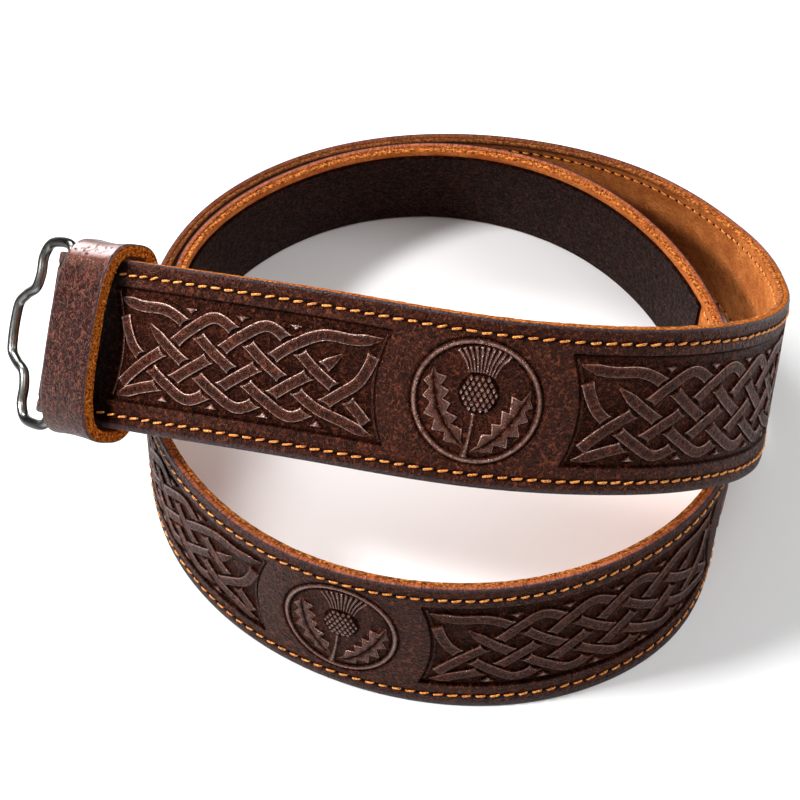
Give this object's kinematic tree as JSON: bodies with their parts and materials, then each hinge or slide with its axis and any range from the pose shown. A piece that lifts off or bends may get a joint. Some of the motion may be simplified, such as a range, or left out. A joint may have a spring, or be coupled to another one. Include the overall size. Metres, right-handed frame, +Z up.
{
  "type": "kilt belt",
  "caption": "Broad leather kilt belt lying coiled on its edge, with a wire ring in its fold, a stiff leather keeper and a hook-and-loop strip inside the free end",
  "frame": {"origin": "middle of the belt's bounding box, on the flat surface that it lies on", "axes": "+X to the right as the front panel is read, away from the ring. +Y to the back of the coil. +Z up, across the strap where it stands on its edge."},
  "size_m": [0.2872, 0.2554, 0.1388],
  "materials": {
    "strap_leather": "dark brown vegetable-tanned leather, embossed, antiqued, satin",
    "lining_suede": "tan suede with a short nap",
    "loop_fabric": "near-black brown loop strip, matt",
    "ring_steel": "bent steel wire, lightly brushed",
    "keeper_leather": "thick dark brown leather, smooth outside, raw orange-brown edges"
  },
  "bodies": {
    "root": {"strap_outer": "strap_leather", "strap_lining": "lining_suede", "loop_strip": "loop_fabric", "wire_ring": "ring_steel", "keeper_loop": "keeper_leather"}
  },
  "joints": []
}
